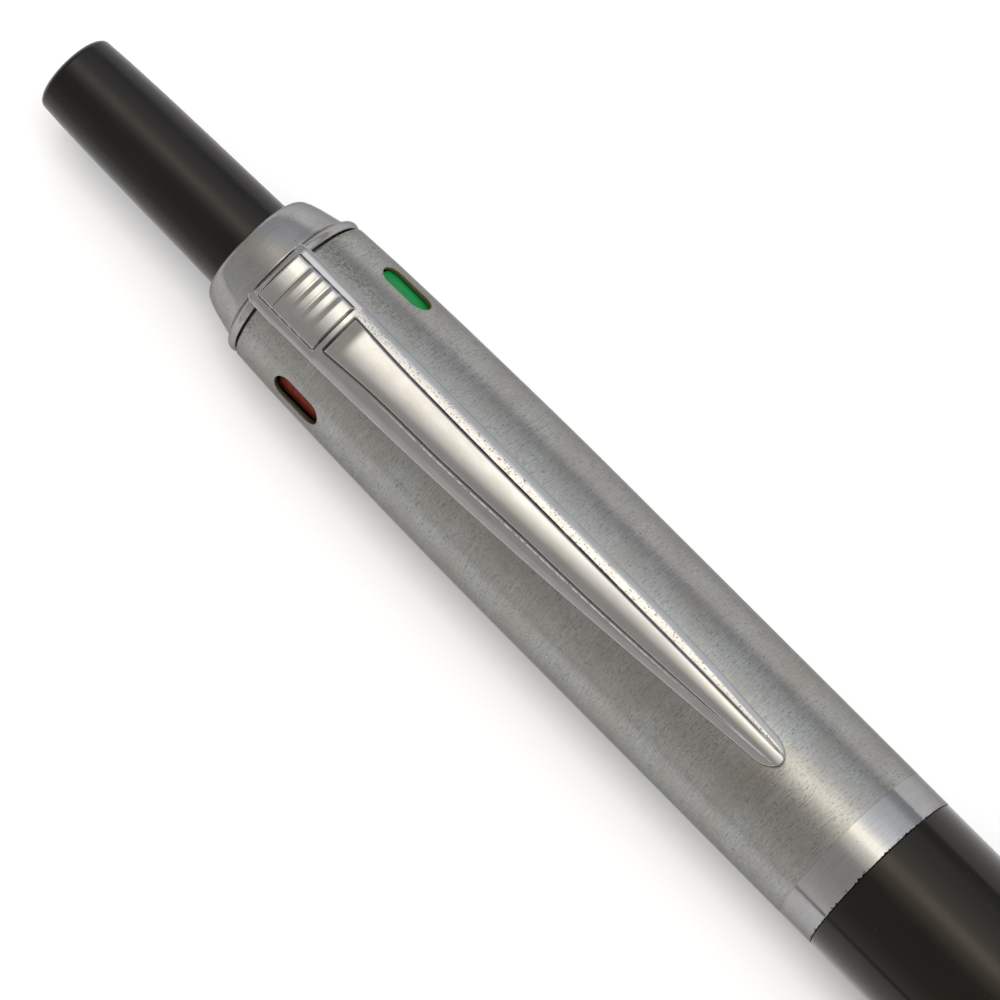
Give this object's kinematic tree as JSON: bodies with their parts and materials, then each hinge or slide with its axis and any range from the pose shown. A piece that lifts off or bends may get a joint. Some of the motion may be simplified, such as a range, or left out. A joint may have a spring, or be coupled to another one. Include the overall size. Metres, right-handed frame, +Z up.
{
  "type": "multicolor ballpoint pen",
  "caption": "Push-button ballpoint pen with a brushed metal cap, colour windows, a ridged pocket clip, a black barrel and a gravity-selected refill mechanism.",
  "frame": {"origin": "bottom centre of the pen's bounding box as it lies on a table with its clip up", "axes": "+X along the pen from the push button to the nose, +Z up through the pocket clip, +Y towards the green window"},
  "size_m": [0.14, 0.0124, 0.0146],
  "materials": {
    "button_black": "matt moulded plastic",
    "brushed_steel": "brushed round the axis",
    "polished_steel": "polished, lightly worn",
    "clip_chrome": "bright chrome plate",
    "barrel_black": "satin gloss plastic",
    "brass": "turned",
    "spring_steel": "drawn wire and sheet",
    "housing_plastic": "moulded",
    "green_plastic": "moulded",
    "red_plastic": "moulded",
    "blue_plastic": "moulded",
    "green_ink": "clear tube full of ink",
    "red_ink": "clear tube full of ink",
    "blue_ink": "clear tube full of ink"
  },
  "bodies": {
    "upper": {"cap_tube": "brushed_steel", "crown_collar": "polished_steel", "mouth_ring": "polished_steel", "mechanism_sleeve": "housing_plastic", "catch_spider": "spring_steel", "spring_plate": "brass", "guide_pin": "spring_steel", "connector": "brass", "refill_guide": "housing_plastic", "button_spring": "spring_steel", "green_spring": "spring_steel", "red_spring": "spring_steel", "blue_spring": "spring_steel"},
    "button": {"push_button": "button_black", "plunger": "brass", "retaining_clip": "spring_steel"},
    "selector": {"selector_weight": "brass"},
    "clip": {"pocket_clip": "clip_chrome"},
    "green_slider": {"green_carrier": "green_plastic", "green_rod": "spring_steel"},
    "red_slider": {"red_carrier": "red_plastic", "red_rod": "spring_steel"},
    "blue_slider": {"blue_carrier": "blue_plastic", "blue_rod": "spring_steel"},
    "green_cartridge": {"green_refill": "green_ink", "green_point": "brass"},
    "red_cartridge": {"red_refill": "red_ink", "red_point": "brass"},
    "blue_cartridge": {"blue_refill": "blue_ink", "blue_point": "brass"},
    "barrel": {"lower_barrel": "barrel_black", "barrel_bush": "brass", "nose_cone": "polished_steel"}
  },
  "joints": [
    {"name": "button_press", "type": "slide", "parent": "upper", "child": "button", "axis": [1, 0, 0], "range_m": [0, 0.009], "stiffness_N_per_m": 120, "springref_m": -0.01, "deforming": ["button_spring", "blue_spring"]},
    {"name": "selector_swing", "type": "hinge", "parent": "button", "child": "selector", "pos_m": [-0.0435, 0, 0.00623], "axis": [1, 0, 0], "continuous": true},
    {"name": "clip_flex", "type": "hinge", "parent": "upper", "child": "clip", "pos_m": [-0.0468, 0, 0.01183], "axis": [0, -1, 0], "range_deg": [0, 3], "stiffness_Nm_per_rad": 2, "springref_deg": -1.15},
    {"name": "green_slide", "type": "slide", "parent": "upper", "child": "green_slider", "axis": [1, 0, 0], "range_m": [0, 0.009], "stiffness_N_per_m": 80, "springref_m": -0.01, "deforming": ["green_spring"]},
    {"name": "red_slide", "type": "slide", "parent": "upper", "child": "red_slider", "axis": [1, 0, 0], "range_m": [0, 0.009], "stiffness_N_per_m": 80, "springref_m": -0.01, "deforming": ["red_spring"]},
    {"name": "blue_slide", "type": "slide", "parent": "upper", "child": "blue_slider", "axis": [1, 0, 0], "range_m": [0, 0.009]},
    {"name": "green_swing", "type": "hinge", "parent": "green_slider", "child": "green_cartridge", "pos_m": [-0.0032, 0.00251, 0.00768], "axis": [0, 0.5, -0.866], "range_deg": [0, 0.72]},
    {"name": "red_swing", "type": "hinge", "parent": "red_slider", "child": "red_cartridge", "pos_m": [-0.0032, -0.00251, 0.00768], "axis": [0, 0.5, 0.866], "range_deg": [0, 0.72]},
    {"name": "blue_swing", "type": "hinge", "parent": "blue_slider", "child": "blue_cartridge", "pos_m": [-0.0032, 0, 0.00333], "axis": [0, -1, 0], "range_deg": [0, 0.72]},
    {"name": "barrel_off", "type": "slide", "parent": "upper", "child": "barrel", "axis": [1, 0, 0], "range_m": [0, 0.075]}
  ],
  "couplings": [
    {"joint": "blue_slide", "follows": "button_press", "ratio": 1},
    {"joint": "blue_swing", "follows": "button_press", "rad_per_m": 1.383},
    {"joint": "green_swing", "follows": "green_slide", "rad_per_m": 1.383},
    {"joint": "red_swing", "follows": "red_slide", "rad_per_m": 1.383}
  ]
}
